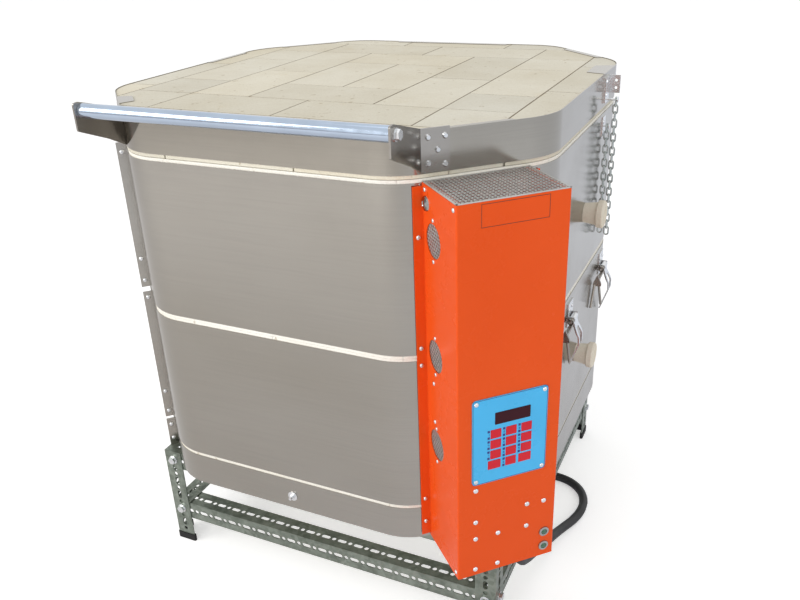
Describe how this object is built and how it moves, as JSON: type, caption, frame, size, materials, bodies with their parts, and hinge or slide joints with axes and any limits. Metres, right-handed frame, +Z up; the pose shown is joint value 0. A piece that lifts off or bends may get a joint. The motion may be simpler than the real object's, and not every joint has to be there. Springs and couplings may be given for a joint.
{
  "type": "bead annealing kiln",
  "caption": "Top loading sectional firebrick kiln with a hinged brick lid, sheet metal jacket, control box, draw latches and a stand of slotted angle, for annealing glass beads.",
  "frame": {"origin": "middle of the outline on the floor, under the feet", "axes": "+X to the side with the peepholes and latches, +Y to the lid hinge, -Y to the lid handle, +Z up"},
  "size_m": [0.8531, 0.891, 0.929],
  "materials": {
    "firebrick": "matt, porous insulating firebrick",
    "jacket_steel": "polished stainless sheet",
    "orange_paint": "glossy powder coat",
    "dark_steel": "smoke tinted steel",
    "bright_steel": "zinc plated steel",
    "handle_steel": "polished steel tube",
    "stand_steel": "galvanised grey green",
    "mesh_steel": "expanded sheet",
    "foot_rubber": "matt black",
    "cord_rubber": "matt black",
    "plug_black": "moulded black",
    "panel_blue": "printed membrane, light blue",
    "display_red": "dark red window",
    "key_red": "printed red keys",
    "chrome_trim": "plated",
    "lens_green": "dark green, unlit",
    "element_wire": "oxidised heating alloy",
    "white_ceramic": "smooth ceramic",
    "board_green": "circuit board",
    "contactor_black": "moulded"
  },
  "bodies": {
    "kiln_body": {"floor_slab": "firebrick", "base_band": "jacket_steel", "base_bolt": "bright_steel", "lower_ring_bricks": "firebrick", "lower_jacket": "jacket_steel", "upper_ring_bricks": "firebrick", "upper_jacket": "jacket_steel", "lower_elements": "element_wire", "upper_elements": "element_wire", "element_terminals": "white_ceramic", "thermocouple": "white_ceramic", "tie_strip": "jacket_steel", "jacket_screws": "bright_steel", "control_box": "orange_paint", "box_back_plate": "bright_steel", "box_top_mesh": "mesh_steel", "vent_screens": "mesh_steel", "vent_rivets": "bright_steel", "controller_panel": "panel_blue", "controller_display": "display_red", "keypad_keys": "key_red", "box_screws": "bright_steel", "flange_screws": "bright_steel", "pilot_lamps": "chrome_trim", "pilot_lenses": "lens_green", "hole_plug": "chrome_trim", "controller_board": "board_green", "contactors": "contactor_black", "terminal_block": "white_ceramic", "latch_bases": "bright_steel", "cord_gland": "plug_black", "power_cord": "cord_rubber", "cord_plug": "plug_black", "front_left_leg": "stand_steel", "front_right_leg": "stand_steel", "rear_left_leg": "stand_steel", "rear_right_leg": "stand_steel", "upper_rails": "stand_steel", "lower_rails": "stand_steel", "rubber_feet": "foot_rubber", "stand_bolts": "bright_steel", "body_hinge_leaves": "dark_steel", "hinge_rod": "bright_steel", "chain_anchor": "dark_steel"},
    "lid": {"lid_bricks": "firebrick", "lid_band": "jacket_steel", "left_handle_bracket": "dark_steel", "right_handle_bracket": "dark_steel", "handle_tube": "handle_steel", "handle_fasteners": "bright_steel", "lid_hinge_leaves": "dark_steel", "chain_bracket": "dark_steel"},
    "lid_strand": {"lid_chain": "bright_steel"},
    "body_strand": {"body_chain": "bright_steel"},
    "upper_plug": {"upper_peephole_plug": "firebrick"},
    "lower_plug": {"lower_peephole_plug": "firebrick"},
    "front_lever": {"front_latch_lever": "bright_steel"},
    "rear_lever": {"rear_latch_lever": "bright_steel"},
    "front_claw": {"front_latch_claw": "dark_steel"},
    "rear_claw": {"rear_latch_claw": "dark_steel"}
  },
  "joints": [
    {"name": "lid_hinge", "type": "hinge", "parent": "kiln_body", "child": "lid", "pos_m": [-0.02628, 0.4365, 0.8355], "axis": [-1, 0, 0], "range_deg": [0, 88]},
    {"name": "lid_strand_swing", "type": "hinge", "parent": "lid", "child": "lid_strand", "pos_m": [0.39282, 0.1345, 0.854], "axis": [-1, 0, 0], "range_deg": [-50, 5]},
    {"name": "body_strand_swing", "type": "hinge", "parent": "kiln_body", "child": "body_strand", "pos_m": [0.38102, 0.1325, 0.807], "axis": [-1, 0, 0], "range_deg": [-140, 5]},
    {"name": "upper_plug_slide", "type": "slide", "parent": "kiln_body", "child": "upper_plug", "axis": [1, 0, 0], "range_m": [0, 0.1]},
    {"name": "lower_plug_slide", "type": "slide", "parent": "kiln_body", "child": "lower_plug", "axis": [1, 0, 0], "range_m": [0, 0.1]},
    {"name": "front_lever_hinge", "type": "hinge", "parent": "kiln_body", "child": "front_lever", "pos_m": [0.38172, -0.0495, 0.5115], "axis": [0, -1, 0], "range_deg": [0, 150]},
    {"name": "front_claw_hinge", "type": "hinge", "parent": "kiln_body", "child": "front_claw", "pos_m": [0.38172, -0.0695, 0.5115], "axis": [0, -1, 0], "range_deg": [0, 150]},
    {"name": "rear_lever_hinge", "type": "hinge", "parent": "kiln_body", "child": "rear_lever", "pos_m": [0.38172, 0.1985, 0.5115], "axis": [0, -1, 0], "range_deg": [0, 150]},
    {"name": "rear_claw_hinge", "type": "hinge", "parent": "kiln_body", "child": "rear_claw", "pos_m": [0.38172, 0.1785, 0.5115], "axis": [0, -1, 0], "range_deg": [0, 150]}
  ],
  "couplings": [
    {"joint": "lid_strand_swing", "follows": "lid_hinge", "ratio": -0.5079},
    {"joint": "body_strand_swing", "follows": "lid_hinge", "ratio": -1.5533}
  ]
}
